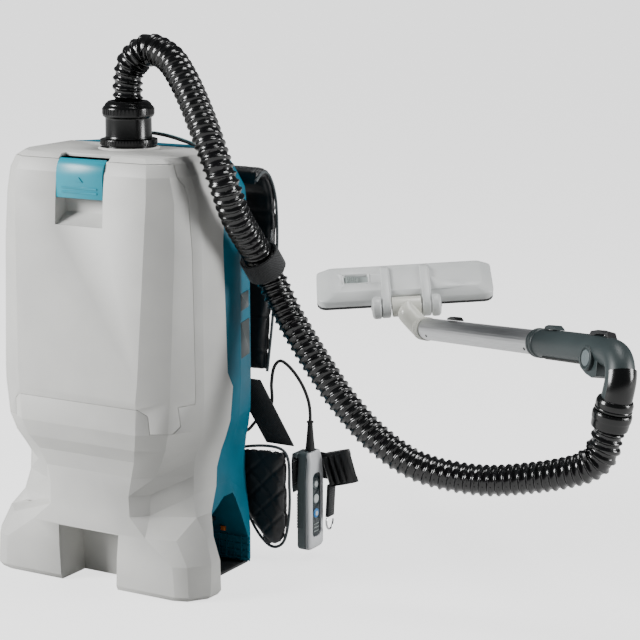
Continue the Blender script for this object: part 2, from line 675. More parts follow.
# %% Stitch tree
stitches, given = geometry_tree("stitches", [("Step", "Float"), ("Length", "Float"), ("Thickness", "Float")])
half = maths(stitches, "MULTIPLY", given["Length"], 0.5)
thread = thread_of(stitches, xyz(stitches, Z=maths(stitches, "MULTIPLY", half, -1.0)), xyz(stitches, Z=half),
                   given["Thickness"], 6)
facing = add(stitches, "GeometryNodeInputTangent").outputs[0]
turned = add(stitches, "FunctionNodeAlignRotationToVector", {"Vector": facing}, axis="Z").outputs[0]
THREAD = woven("grey_polyester_thread", "#9AA0A1", "#6F7576", 0.6, 0.6, 0.05)
end_tree(stitches, set_on(stitches, stepped(stitches, given), thread, Rotation=turned), THREAD)


def stitched(name, points, body="housing", slot="webbing", closed=False):
    item = grown(name, line_object(name + "_line", points, closed), stitches,
                 {"Step": 0.0042, "Length": 0.0028, "Thickness": 0.00035})
    return finished(item, body, slot)


def cord_line(name, points, radius, material, slot, body="housing", closed=False):
    """A round trim such as piping, along its points."""
    item = line_object(name, points, closed)
    item.data.bevel_depth = radius
    item.data.bevel_resolution = 3
    item.data.use_fill_caps = True
    item.data.materials.append(material)
    return finished(item, body, slot)


def rounded_loop(points, spacing=0.004):
    """A closed smooth line through the points."""
    line, _ = smooth_path([*points, points[0], points[1]], spacing)
    count = len(line)
    gap = min(range(count // 2, count), key=lambda i: (line[i] - Vector(points[0])).length)
    return line[:gap]


def mirrored(points, side):
    return [Vector((side * p[0], p[1], p[2])) for p in points]


# %% Piping round the pads
STRAP_OUTER = [(0.0980, 0.5060), (0.1150, 0.5160), (0.1310, 0.5100), (0.1450, 0.4850), (0.1500, 0.4500),
               (0.1490, 0.4000), (0.1395, 0.3300), (0.1265, 0.2640), (0.1230, 0.2500)]
WAIST_EDGE = [(0.0800, 0.1300), (0.1080, 0.1490), (0.1660, 0.1500), (0.1740, 0.1000), (0.1720, 0.0520),
              (0.1620, 0.0220), (0.1400, 0.0185), (0.1120, 0.0520)]
for side, word in ((1, "right"), (-1, "left")):
    for count, x in enumerate((0.0690, 0.1290)):
        edge, _ = smooth_path([(side * x, y, z) for y, z in STRAP_OUTER], 0.004)
        cord_line("strap_piping_%s_%d" % (word, count), edge, 0.0019, PIPING, "webbing")
    rim = rounded_loop([(side * x, 0.1045, z) for x, z in WAIST_EDGE])
    cord_line("waist_piping_" + word, rim, 0.0020, PIPING, "webbing", closed=True)
    inner = [(side * (0.128 + (x - 0.128) * 0.86), 0.1128, 0.085 + (z - 0.085) * 0.88)
             for x, z in WAIST_EDGE]
    stitched("waist_stitches_" + word, rounded_loop(inner), closed=True)
print("piping and stitches laid")

# %% Webbing straps
for node in ("lower_strap_right", "lower_strap_left", "belt_right", "belt_left", "carry_strap", "strap_tail"):
    rounded(node, NYLON, "webbing", 0.0006, 2, 30, node + "_webbing")
rounded("hose_holder", NYLON, "webbing", 0.0008, 2, 40, "hose_holder_loop")
for side, word in ((1, "right"), (-1, "left")):
    for shift in (0.0, 1.0):
        top = Vector((0.0815 + 0.039 * shift, 0.1154, 0.2370))
        low = Vector((0.1365 + 0.0360 * shift, 0.1154, 0.1590))
        stitched("strap_stitches_%s_%d" % (word, shift), mirrored([top, low], side))
        stitched("belt_stitches_%s_%d" % (word, shift), mirrored([(0.1760, 0.1140, 0.1045 + 0.031 * shift),
                           (0.1760, 0.1490, 0.1045 + 0.031 * shift)], side))
tape_low, tape_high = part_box("carry_strap")
tape_middle = (tape_low.y + tape_high.y) / 2
tape_line, _ = smooth_path([(x, tape_middle, 0.5557 + 0.0130 * math.cos(x / 0.075 * math.pi / 2))
                            for x in [-0.072 + 0.012 * step for step in range(13)]], 0.006)
print("carrying strap from", round(tape_low.x, 3), "to", round(tape_high.x, 3))

# %% [markdown]
# ## Turned parts: cuffs and rings
# The hose cuff, its flange, the suction ring and the end cuff are round mouldings. A Screw modifier would
# do, but a small lathe function that takes the profile as radius and height is shorter to read, and it can
# round the profile's corners first, so that every lip catches a thin highlight.

# %% Lathe
def softened(profile, radius):
    """Cuts each corner of an open profile twice, which rounds it by about the radius."""
    points = [Vector(point) for point in profile]
    result = [points[0]]
    for before, corner, after in zip(points, points[1:], points[2:]):
        reach = min(radius, (corner - before).length / 2, (after - corner).length / 2)
        one = corner + (before - corner).normalized() * reach
        two = corner + (after - corner).normalized() * reach
        result += [one, one.lerp(corner, 0.5).lerp(two.lerp(corner, 0.5), 0.5), two]
    return [*result, points[-1]]


def turned_at(place, axis):
    """A matrix at a place whose Z runs along the axis."""
    return Matrix.Translation(place) @ Vector(axis).to_track_quat("Z", "Y").to_matrix().to_4x4()


def bridged(shape, rings):
    """Faces between each closed ring of points and the next."""
    for one, two in zip(rings, rings[1:]):
        for i in range(len(one)):
            j = (i + 1) % len(one)
            shape.faces.new((one[i], one[j], two[j], two[i]))


def mesh_piece(name, shape, material, smooth=38):
    """Turns a bmesh into a piece with its material, shaded smooth except at sharp edges."""
    bmesh.ops.remove_doubles(shape, verts=shape.verts, dist=0.000005)
    bmesh.ops.recalc_face_normals(shape, faces=shape.faces)
    mesh = bpy.data.meshes.new(name)
    shape.to_mesh(mesh)
    shape.free()
    mesh.materials.append(material)
    mesh.shade_smooth()
    mesh.set_sharp_from_angle(angle=math.radians(smooth))
    return placed(name, mesh)


def lathe(name, profile, matrix, material, round_by=0.0006, segments=72):
    """A closed ring turned from (radius, height) points that run round its section."""
    line = softened([*profile, profile[0]], round_by)[:-1]
    shape = bmesh.new()
    rings = []
    for step in range(segments):
        angle = 2 * math.pi * step / segments
        rings.append([shape.verts.new(matrix @ Vector((r * math.cos(angle), r * math.sin(angle), z)))
                      for r, z in line])
    bridged(shape, rings + rings[:1])
    return mesh_piece(name, shape, material)


UPRIGHT = Matrix.Identity(4)
socket_profile = [(0.0209, 0.5524), (0.0352, 0.5524), (0.0352, 0.5545), (0.0340, 0.5552), (0.0340, 0.5560),
                  (0.0362, 0.5568), (0.0362, 0.5638), (0.0209, 0.5638)]
finished(lathe("inlet_flange", socket_profile, UPRIGHT, GLOSS_PP), "housing", "black_part", "inlet_socket")
sleeve_profile = [(0.0175, 0.5645), (0.0302, 0.5645), (0.0302, 0.5662), (0.0296, 0.5670), (0.0294, 0.5880),
                  (0.0294, 0.5905), (0.0326, 0.5930), (0.0328, 0.5948), (0.0328, 0.6030), (0.0318, 0.6048),
                  (0.0300, 0.6062), (0.0292, 0.6085), (0.0250, 0.6120), (0.0210, 0.6122), (0.0195, 0.6085)]
finished(lathe("swivel_cuff", sleeve_profile, UPRIGHT, GLOSS_PP, 0.0008), "cuff", "black_part", "hose_cuff")
boss_profile = [(0.0340, 0.5495), (0.0395, 0.5495), (0.0395, 0.5522), (0.0372, 0.5542), (0.0358, 0.5542),
                (0.0358, 0.5520), (0.0340, 0.5520)]
finished(lathe("inlet_boss", boss_profile, UPRIGHT, GREY_ABS, 0.0009), "housing", "grey_shell")

# %% [markdown]
# The flange and the cuff carry rows of fine grip ribs. Geometry Nodes set one small rounded rib on every
# point of a circle and turn it to face outwards.

# %% Grip rib tree
grips, given = geometry_tree("ring_of_ribs", [("Count", "Int"), ("Radius", "Float"), ("Width", "Float"),
                                              ("Depth", "Float"), ("Height", "Float"),
                                              ("Material", "Material")])
circle = add(grips, "GeometryNodeCurvePrimitiveCircle",
             {"Resolution": given["Count"], "Radius": given["Radius"]}).outputs[0]
bar = add(grips, "GeometryNodeMeshCube",
          {"Size": xyz(grips, X=given["Width"], Y=given["Depth"], Z=given["Height"])}).outputs[0]
along = add(grips, "GeometryNodeInputTangent").outputs[0]
faced = add(grips, "FunctionNodeAlignRotationToVector", {"Vector": along}, axis="X",
            pivot_axis="Z").outputs[0]
end_tree(grips, set_on(grips, circle, bar, Rotation=faced), given["Material"])


def ring_of_ribs(name, matrix, material, body, slot, count, radius, width, depth, height):
    base = placed(name + "_seat", bpy.data.meshes.new(name + "_seat"))
    item = grown(name, base, grips, {"Count": count, "Radius": radius, "Width": width, "Depth": depth,
                                     "Height": height, "Material": material}, smooth=False)
    item.data.transform(matrix)
    return finished(item, body, slot)


ring_of_ribs("flange_notches", turned_at((0, 0, 0.5603), (0, 0, 1)), GLOSS_PP, "housing", "black_part",
             60, 0.0362, 0.0018, 0.0010, 0.0062)
ring_of_ribs("cuff_grips", turned_at((0, 0, 0.5990), (0, 0, 1)), GLOSS_PP, "cuff", "black_part",
             44, 0.0328, 0.0022, 0.0010, 0.0070)
print("hose cuff dressed")

# %% [markdown]
# ## Handle
# The handle is a hollow grip that bends down into the swivel: dark grey-green on top, with a black shell
# along the outside of the bend, a soft black strip under the fingers, a round boss where its halves are
# bolted, and a hook. A sweep along the bend gives the tube. The same sweep with an open arc as its section
# gives each shell and strip.

# %% Sweep along a line
def swept(name, path, section, normal, material, smooth=38):
    """A closed section, given as (in the bend's plane, along its normal) points, carried along a path."""
    shape = bmesh.new()
    rings = []
    last = len(path) - 1
    for index, point in enumerate(path):
        run = (path[min(index + 1, last)] - path[max(index - 1, 0)]).normalized()
        inward = run.cross(normal).normalized()
        rings.append([shape.verts.new(point + inward * a + normal * b) for a, b in section(index / last)])
    bridged(shape, rings)
    shape.faces.new(rings[0][::-1])
    shape.faces.new(rings[-1])
    return mesh_piece(name, shape, material, smooth)


def oval(wide, deep, count=40):
    return [(wide * math.cos(2 * math.pi * i / count),
             deep * math.sin(2 * math.pi * i / count)) for i in range(count)]


def shell_arc(radius, thick, start, end, count=20):
    """An arc with thickness, from one angle to another in degrees. 0 is the bend's outside."""
    angles = [math.radians(start + (end - start) * i / count) for i in range(count + 1)]
    outside = [(radius * math.cos(a), radius * math.sin(a)) for a in angles]
    return outside + [((radius - thick) * math.cos(a),
                       (radius - thick) * math.sin(a)) for a in reversed(angles)]


PIPE_END = Vector(joints["neck_swivel"]["pos_m"])
PIPE_REACH = 0.560
HANDLE_STRAIGHT = 0.197


def wand_point(distance):
    """A place on the wand's axis, measured from the handle's bend towards the nozzle."""
    return PIPE_END + PIPE_AXIS * (PIPE_REACH - distance)


def swivel_point(distance):
    return SWIVEL_POINT + SWIVEL_AXIS * distance


BEND_NORMAL = PIPE_AXIS.cross(SWIVEL_AXIS).normalized()
HANDLE_UP = BEND_NORMAL.cross(PIPE_AXIS).normalized()
handle_route = [wand_point(HANDLE_STRAIGHT), wand_point(0.150), wand_point(0.100), wand_point(0.050),
                wand_point(0.020), Vector((0.6330, 0.0845, 0.3340)), Vector((0.6440, 0.0710, 0.3260)),
                Vector((0.6478, 0.0630, 0.3120)), swivel_point(0.0300), swivel_point(0.0190)]
handle_line, handle_length = smooth_path(handle_route, 0.004)


def handle_section(share):
    swell = 0.0008 * math.sin(math.pi * min(share * 1.5, 1.0))
    return oval(0.0178 + swell, 0.0176)


finished(swept("handle_grip", handle_line, handle_section, BEND_NORMAL, HANDLE_PP), "wand", "handle",
         "handle")
print("handle", round(handle_length, 3), "m along its middle")

# %% Handle shells, boss, collar and marks
outer_side = 180 if (handle_line[-1] - handle_line[0]).dot(HANDLE_UP) < 0 else 0
bend_start = int(len(handle_line) * 0.60)
finished(swept("bend_shell", handle_line[-9:],
               lambda share: shell_arc(0.0196, 0.0030, outer_side - 70, outer_side + 70),
               BEND_NORMAL, GLOSS_PP), "wand", "black_part")
finished(swept("finger_strip", handle_line[8:bend_start - 2],
               lambda share: shell_arc(0.0196, 0.0026, outer_side + 150, outer_side + 210), BEND_NORMAL,
               BLACK_RUBBER), "wand", "rubber")
collar = [(0.0150, -0.0010), (0.0184, -0.0010), (0.0192, 0.0015), (0.0192, 0.0060), (0.0184, 0.0066),
          (0.0184, 0.0080), (0.0192, 0.0086), (0.0192, 0.0130), (0.0178, 0.0150), (0.0150, 0.0150)]
finished(lathe("pipe_collar", collar, turned_at(wand_point(HANDLE_STRAIGHT), PIPE_AXIS), HANDLE_PP, 0.0004),
         "wand", "handle")
viewer_side = BEND_NORMAL if BEND_NORMAL.dot(TOWARDS_VIEWER) > 0 else -BEND_NORMAL
for word, facing in (("near", viewer_side), ("far", -viewer_side)):
    seat = turned_at(wand_point(0.030) - HANDLE_UP * 0.0100, facing)
    boss = [(0.0004, 0.0120), (0.0150, 0.0120), (0.0150, 0.0186), (0.0140, 0.0198), (0.0124, 0.0198),
            (0.0116, 0.0180),
            (0.0004, 0.0180)]
    finished(lathe("boss_" + word, boss, seat, HANDLE_PP, 0.0005), "wand", "handle")
    cap = [(0.0004, 0.0170), (0.0100, 0.0170), (0.0100, 0.0188), (0.0092, 0.0194), (0.0004, 0.0190)]
    finished(lathe("boss_cap_" + word, cap, seat, REMOTE_DARK, 0.0004), "wand", "handle")
hook = [(0.030, 0.0150), (0.024, 0.0225), (0.000, 0.0245), (-0.016, 0.0225), (-0.021, 0.0165)]
hook_under = [(-0.019, 0.0140), (0.000, 0.0190), (0.018, 0.0195), (0.024, 0.0160)]


def side_block(name, outline, half_width, middle, material, body, slot, *nodes):
    """An outline of (along the wand, up) points, given a thickness across the wand and rounded edges."""
    shape = bmesh.new()
    sides = [[shape.verts.new(middle + PIPE_AXIS * a + HANDLE_UP * u + BEND_NORMAL * b) for a, u in outline]
             for b in (-half_width, half_width)]
    shape.faces.new(sides[0][::-1])
    shape.faces.new(sides[1])
    bridged(shape, sides)
    return finished(bevelled(mesh_piece(name, shape, material), 0.0010, 3, 25), body, slot, *nodes)


gusset = [(-0.030, -0.0100), (-0.020, -0.0225), (-0.006, -0.0290), (0.010, -0.0330), (0.022, -0.0300),
          (0.022, 0.0000),
          (-0.030, 0.0000)]
side_block("bend_gusset", gusset, 0.0145, wand_point(0.030), HANDLE_PP, "wand", "handle")
side_block("hanging_hook", hook + hook_under, 0.0065, wand_point(0.030), BLACK_PP, "wand", "black_part")
lock = [(-0.0150, 0.0185), (-0.0140, 0.0222), (-0.0060, 0.0242), (0.0060, 0.0246), (0.0130, 0.0215),
        (0.0170, 0.0185)]
side_block("lock_button", lock, 0.0072, wand_point(0.155), HANDLE_PP, "pipe_lock", "handle", "pipe_lock")
catch = [(-0.0170, 0.0165), (-0.0150, 0.0196), (-0.0060, 0.0214), (0.0080, 0.0220), (0.0150, 0.0190),
         (0.0170, 0.0165)]
side_block("pipe_catch_lever", catch, 0.0062, wand_point(PIPE_REACH - 0.095), GLOSS_PP, "pipe_catch",
           "black_part",
           "pipe_catch")
for place in (0.025, PIPE_REACH - HANDLE_STRAIGHT - 0.014):
    middle = PIPE_END + PIPE_AXIS * place
    dot = [(0.0004, 0.0148), (0.0021, 0.0148), (0.0021, 0.0162), (0.0016, 0.0166), (0.0004, 0.0166)]
    finished(lathe("snap_dot_%d" % round(place * 1000), dot,
                   turned_at(middle, viewer_side * 0.8 - HANDLE_UP * 0.6),
                   BLACK_PP, 0.0002, 20), "wand", "black_part")

ring_profile = [(0.0169, 0.0035), (0.0212, 0.0035), (0.0225, 0.0050), (0.0225, 0.0070), (0.0216, 0.0078),
                (0.0222, 0.0090), (0.0224, 0.0140), (0.0210, 0.0180), (0.0190, 0.0190), (0.0169, 0.0190)]
swivel = turned_at(SWIVEL_POINT, SWIVEL_AXIS)
finished(lathe("suction_collar", ring_profile, swivel, GLOSS_PP, 0.0006), "suction_ring", "black_part",
         "suction_ring")
cuff_profile = [(0.0172, -0.0180), (0.0215, -0.0180), (0.0222, -0.0165), (0.0228, -0.0080),
                (0.0236, -0.0060),
                (0.0238, 0.0000), (0.0228, 0.0026), (0.0172, 0.0030)]
end_cuff = lathe("hose_end_sleeve", cuff_profile, swivel, GLOSS_PP, 0.0007)
finished(end_cuff, "housing", "black_part")
print("handle dressed; the ring turns about", [round(c, 2) for c in SWIVEL_AXIS])

# %% [markdown]
# ## Floor nozzle
# The nozzle is a low shell with a bevel all round, a raised block in the middle with two rounded rails that
# run back into the arms, and a window for the floor selector. It is built in its own directions, across,
# forward and up, and placed by one matrix. Rings of a rounded outline, each a little further in and higher,
# give the bevels.

# %% Nozzle shell
HEAD_TILT = math.radians(64)
head_level = AXLE_AXIS.cross(Vector((0, 0, 1))).normalized()
head_up = (head_level * math.cos(HEAD_TILT) + Vector((0, 0, 1)) * math.sin(HEAD_TILT)).normalized()
head_forward = head_up.cross(AXLE_AXIS).normalized()
HEAD = Matrix((AXLE_AXIS, head_forward, head_up)).transposed().to_4x4()
HEAD.translation = AXLE_POINT


def rounded_outline(low, high, radii, count=8):
    """A rectangle with a radius for each corner, starting at (low, low) and going round anticlockwise."""
    corners = [(low[0], low[1], 180), (high[0], low[1], 270), (high[0], high[1], 0), (low[0], high[1], 90)]
    points = []
    for (x, y, start), radius in zip(corners, radii):
        cx = x + radius if x == low[0] else x - radius
        cy = y + radius if y == low[1] else y - radius
        for step in range(count + 1):
            angle = math.radians(start + 90 * step / count)
            points.append((cx + radius * math.cos(angle), cy + radius * math.sin(angle)))
    return points


def stacked(name, rings, matrix, material, smooth=30):
    """Joins closed rings of 3-D points one above the other, and closes both ends."""
    shape = bmesh.new()
    rows = [[shape.verts.new(matrix @ Vector(point)) for point in ring] for ring in rings]
    bridged(shape, rows)
    shape.faces.new(rows[0][::-1])
    shape.faces.new(rows[-1])
    return mesh_piece(name, shape, material, smooth)


def carved(item, *cutters):
    """Cuts closed meshes out of a piece, then removes them."""
    for cutter in cutters:
        cut = item.modifiers.new("cut", "BOOLEAN")
        cut.operation = "DIFFERENCE"
        cut.solver = "EXACT"
        cut.object = cutter
        applied(item)
        bpy.data.objects.remove(cutter, do_unlink=True)
    return item


def softened_edges(item, width, segments=3, angle=28, smooth=34):
    """Rounds a made piece's sharp edges and marks again which of them stay sharp."""
    bevelled(item, width, segments, angle)
    item.data.set_sharp_from_angle(angle=math.radians(smooth))
    return item


def slab(name, low, high, matrix, material, radius=0.001, sides=4):
    """A block between two corners with its upright edges rounded."""
    outline = rounded_outline(low[:2], high[:2], [radius] * 4, sides)
    return stacked(name, [[(x, y, z) for x, y in outline] for z in (low[2], high[2])], matrix, material)


HEAD_HALF = 0.131
HEAD_REAR = 0.018
HEAD_FRONT = 0.096
levels = [(-0.0090, 0.0, 0.0, 0.0), (0.0005, 0.0, 0.0, 0.0), (0.0020, 0.0006, 0.0006, 0.0010),
          (0.0112, 0.0150, 0.0085, 0.0060), (0.0125, 0.0190, 0.0105, 0.0100)]
rings = []
for height, ends, rear, front in levels:
    outline = rounded_outline((-HEAD_HALF + ends, HEAD_REAR + rear), (HEAD_HALF - ends, HEAD_FRONT - front),
                              (0.0150, 0.0150, 0.0070, 0.0070))
    rings.append([(x, y, height) for x, y in outline])
nozzle_shell = stacked("nozzle_shell", rings, HEAD, NOZZLE_ABS, 20)
carved(nozzle_shell,
       slab("window_cutter", (-0.0905, 0.0475, 0.0080), (-0.0545, 0.0685, 0.03), HEAD, NOZZLE_ABS, 0.0025))
softened_edges(nozzle_shell, 0.0009, 2, 24)
finished(nozzle_shell, "nozzle", "nozzle", "nozzle_body")
window_rim = []
for grow, z in ((0.0016, 0.0118), (0.0010, 0.0132), (-0.0004, 0.0132), (-0.0010, 0.0116)):
    outline = rounded_outline((-0.0915 - grow, 0.0465 - grow), (-0.0535 + grow, 0.0695 + grow),
                              [0.0030 + grow] * 4)
    window_rim.append([(x, y, z) for x, y in outline])
rim_shape = bmesh.new()
rim_rows = [[rim_shape.verts.new(HEAD @ Vector(point)) for point in ring] for ring in window_rim]
bridged(rim_shape, rim_rows + rim_rows[:1])
finished(mesh_piece("window_rim", rim_shape, NOZZLE_ABS), "nozzle", "nozzle")


def head_profile(name, outline, left, right, material, rounding, body="nozzle", slot="nozzle"):
    """An outline of (forward, up) points with a width across the nozzle, its edges rounded."""
    shape = stacked(name, [[(a, f, u) for f, u in outline] for a in (left, right)], HEAD, material)
    return finished(softened_edges(shape, rounding, 4, 30, 40), body, slot)


middle_block = [(0.0160, -0.0070), (0.0160, 0.0100), (0.0220, 0.0152), (0.0740, 0.0152), (0.0900, 0.0080),
                (0.0945, 0.0010), (0.0945, -0.0070)]
head_profile("nozzle_block", middle_block, -0.0260, 0.0260, NOZZLE_ABS, 0.0012)
ARM_END_RADIUS = 0.0156
rear_arc = [(-ARM_END_RADIUS * math.cos(math.radians(a)), ARM_END_RADIUS * math.sin(math.radians(a)))
            for a in range(-90, 61, 10)]
arm = [*rear_arc, (0.0060, 0.0150), (0.0200, 0.0188), (0.0700, 0.0188), (0.0880, 0.0120), (0.0952, 0.0030),
       (0.0952, -0.0060), (0.0300, -0.0075), (0.0165, -0.0085)]
for word, side in (("left", -1), ("right", 1)):
    ends = sorted((side * 0.0228, side * 0.0365))
    head_profile("nozzle_arm_" + word, arm, *ends, NOZZLE_ABS, 0.0030)
facet = [(0.0360, 0.0240, 0.0105), (0.0360, 0.0500, 0.0118), (0.0950, 0.0330, 0.0118),
         (0.0880, 0.0260, 0.0105)]
ridge = [(0.0360, 0.0262, 0.0135), (0.0360, 0.0490, 0.0170), (0.0900, 0.0328, 0.0127),
         (0.0850, 0.0275, 0.0120)]
wedge = stacked("nozzle_facet", [facet, ridge], HEAD, NOZZLE_ABS)
finished(softened_edges(wedge, 0.0004, 2, 20), "nozzle", "nozzle")

# %% Selector, wheels, axle, sole and bristles
slider = slab("selector_slider", (-0.0885, 0.0497, 0.0066), (-0.0700, 0.0663, 0.0118), HEAD, SWITCH_PP,
              0.0020)
finished(softened_edges(slider, 0.0005, 2), "floor_selector", "switch", "floor_selector")
for step in range(6):
    place = -0.0864 + step * 0.0028
    rib = slab("selector_rib_%d" % step, (place, 0.0510, 0.0114), (place + 0.0013, 0.0650, 0.0130), HEAD,
               SWITCH_PP, 0.0004)
    finished(softened_edges(rib, 0.0003, 2), "floor_selector", "switch")
window_floor = slab("window_floor", (-0.0900, 0.0480, 0.0078), (-0.0550, 0.0680, 0.0086), HEAD, SWITCH_PP)
finished(window_floor, "nozzle", "switch")
for word, side in (("left", -1), ("right", 1)):
    outer = [(0.0034, -0.0060), (0.0100, -0.0060), (0.0148, -0.0064), (0.0164, -0.0046), (0.0165, 0.0020),
             (0.0158, 0.0048), (0.0130, 0.0068), (0.0080, 0.0076), (0.0034, 0.0078)]
    hub = turned_at(HEAD @ Vector((side * 0.0435, 0, 0)), AXLE_AXIS * side)
    finished(lathe("wheel_disc_" + word, outer, hub, NOZZLE_ABS, 0.0010), "wheel_" + word, "wheel",
             "wheel_" + word)
    cap = [(0.0003, 0.0072), (0.0034, 0.0072), (0.0034, 0.0082), (0.0024, 0.0087), (0.0003, 0.0087)]
    finished(lathe("axle_cap_" + word, cap, hub, STEEL, 0.0003, 24), "nozzle", "steel")
sole = slab("sole", (-HEAD_HALF, HEAD_REAR, -0.0130), (HEAD_HALF, HEAD_FRONT, -0.0092), HEAD, BLACK_PP,
            0.0140)
carved(sole, slab("mouth_cutter", (-0.1150, 0.0420, -0.02), (0.1150, 0.0600, 0.0), HEAD, BLACK_PP, 0.004))
finished(softened_edges(sole, 0.0006, 2), "nozzle", "black_part", "sole_plate")
print("nozzle shell", len(nozzle_shell.data.polygons), "faces")

# %% [markdown]
# Two rows of bristles stand beside the mouth. They are short stiff nylon, in tufts a few millimetres apart.
# A particle system would need its own hair shading, so the tufts are laid along two lines by Geometry
# Nodes, each leaning a little by a seeded random turn.

# %% Bristle tree
bristles, given = geometry_tree("bristle_row", [("Step", "Float"), ("Length", "Float"), ("Radius", "Float"),
                                                ("Lean", "Float"), ("Seed", "Int"),
                                                ("Material", "Material")])
hair = thread_of(bristles, (0, 0, 0), xyz(bristles, Z=given["Length"]), given["Radius"], 5)
other_way = maths(bristles, "MULTIPLY", given["Lean"], -1.0)
least = xyz(bristles, X=other_way, Y=other_way)
most = xyz(bristles, X=given["Lean"], Y=given["Lean"])
lean = add(bristles, "FunctionNodeRandomValue", {"Min": least, "Max": most, "Seed": given["Seed"]},
           data_type="FLOAT_VECTOR").outputs["Value"]
end_tree(bristles, set_on(bristles, stepped(bristles, given), hair, Rotation=lean), given["Material"])
for count, depth in enumerate((0.0385, 0.0400, 0.0635, 0.0650)):
    line = [(-0.1180 + 0.0005 * count, depth, 0), (0.1180, depth, 0)]
    row = grown("bristles_%d" % count, line_object("bristle_line", line), bristles,
                {"Step": 0.0016, "Length": 0.0042, "Radius": 0.0003, "Lean": 0.16, "Seed": 7 + count,
                 "Material": BLACK_PP})
    row.data.transform(HEAD @ Matrix.Translation((0, 0, -0.0128)) @ Matrix.Scale(-1, 4, (0, 0, 1)))
    row.data.flip_normals()
    finished(row, "nozzle", "black_part")

# %% Neck and pipe end
neck_points = [HEAD @ Vector((0, -0.0020, 0)), HEAD @ Vector((0.0020, -0.0150, -0.0030)),
               PIPE_END - PIPE_AXIS * 0.022,
               PIPE_END - PIPE_AXIS * 0.010]
neck_line, _ = smooth_path(neck_points, 0.0020)
neck_normal = (neck_line[-1] - neck_line[0]).cross(Vector((0, 0, 1))).normalized()
finished(swept("neck_tube", neck_line, lambda share: oval(0.0150 + 0.0008 * share, 0.0150 + 0.0008 * share),
               neck_normal,
               NECK_POM), "neck", "neck", "neck")
barrel = [(0.0032, -0.0215), (0.0135, -0.0215), (0.0147, -0.0205), (0.0147, 0.0205), (0.0135, 0.0215),
          (0.0032, 0.0215)]
finished(lathe("neck_barrel", barrel, turned_at(AXLE_POINT, AXLE_AXIS), NECK_POM, 0.0008), "neck", "neck")
collar = [(0.0125, -0.0200), (0.0164, -0.0200), (0.0172, -0.0188), (0.0172, -0.0152), (0.0160, -0.0146),
          (0.0160, -0.0134), (0.0172, -0.0128), (0.0172, -0.0100), (0.0160, -0.0094), (0.0160, -0.0082),
          (0.0172, -0.0076), (0.0172, -0.0044), (0.0160, -0.0036), (0.0160, -0.0022), (0.0174, -0.0014),
          (0.0174, -0.0002), (0.0125, -0.0002)]
finished(lathe("neck_collar", collar, turned_at(PIPE_END, PIPE_AXIS), NECK_POM, 0.0003), "neck", "neck")
print("neck dressed")

# %% [markdown]
# ## Remote control
# A hand-sized case in two halves: a slate back with a square-grid grip, and a pale face that wraps round
# the edge, with a dark strip of keys. Both halves are stacks of rounded outlines. The face is cut for the
# strip, and the strip for its keys, so that a pressed key sinks into a hole.

# %% Remote case
REMOTE_LOW = Vector((0.178, 0.115, 0.014))
REMOTE_HIGH = Vector((0.198, 0.155, 0.147))
REMOTE_MIDDLE = (REMOTE_LOW.y + REMOTE_HIGH.y) / 2
KEY_FACE = REMOTE_HIGH.x - 0.0010
POWER_HEIGHT, MODE_HEIGHT, TURBO_HEIGHT = 0.1020, 0.0820, 0.0620


def remote_rings(back, front, corner, depth_in):
    """Rings up the case between two x places: narrow at both ends, waisted below the top."""
    steps = [(0.0000, 0.0045), (0.0015, 0.0020), (0.0050, 0.0), (0.0950, 0.0), (0.1080, 0.0016),
             (0.1200, 0.0030),
             (0.1290, 0.0036), (0.1320, 0.0052), (0.1330, 0.0075)]
    rings = []
    for height, inset in steps:
        pull = min(inset, 0.0040) if height > 0.12 or height < 0.002 else 0.0
        outline = rounded_outline((back, REMOTE_LOW.y + inset),
                                  (front - pull * depth_in, REMOTE_HIGH.y - inset), corner, 5)
        rings.append([(x, y, REMOTE_LOW.z + height) for x, y in outline])
    return rings


back_half = stacked("remote_back", remote_rings(0.1780, 0.1918, (0.0045, 0.0010, 0.0010, 0.0045), 0.0),
                    UPRIGHT,
                    REMOTE_DARK)
finished(softened_edges(back_half, 0.0005, 2, 30), "housing", "remote", "remote_case")
face_half = stacked("remote_face", remote_rings(0.1921, 0.1984, (0.0008, 0.0048, 0.0048, 0.0008), 0.6),
                    UPRIGHT,
                    REMOTE_LIGHT)
TO_SIDE = Matrix(((0, 0, 1, 0), (1, 0, 0, 0), (0, 1, 0, 0), (0, 0, 0, 1)))
carved(face_half, slab("strip_cutter", (REMOTE_MIDDLE - 0.0112, 0.0298, 0.1946),
            (REMOTE_MIDDLE + 0.0112, 0.1182, 0.21), TO_SIDE, REMOTE_LIGHT, 0.0080, 8))
finished(softened_edges(face_half, 0.0006, 2, 30), "housing", "remote")
strip = slab("key_strip", (REMOTE_MIDDLE - 0.0109, 0.0301, 0.1944),
             (REMOTE_MIDDLE + 0.0109, 0.1179, 0.1972), TO_SIDE,
             KEYPAD_SHEET, 0.0078, 8)
key_holes = [slab("key_hole", (REMOTE_MIDDLE - 0.0067, height - 0.0067, 0.19),
                  (REMOTE_MIDDLE + 0.0067, height + 0.0067, 0.21),
                  TO_SIDE, KEYPAD_SHEET, 0.0066, 8) for height in (POWER_HEIGHT, MODE_HEIGHT, TURBO_HEIGHT)]
carved(strip, *key_holes)
finished(softened_edges(strip, 0.0004, 2, 30), "housing", "keypad", "remote_keypad")
key_profile = [(0.0002, -0.0010), (0.0060, -0.0010), (0.0062, 0.0002), (0.0054, 0.0011), (0.0030, 0.0014),
               (0.0002, 0.0014)]
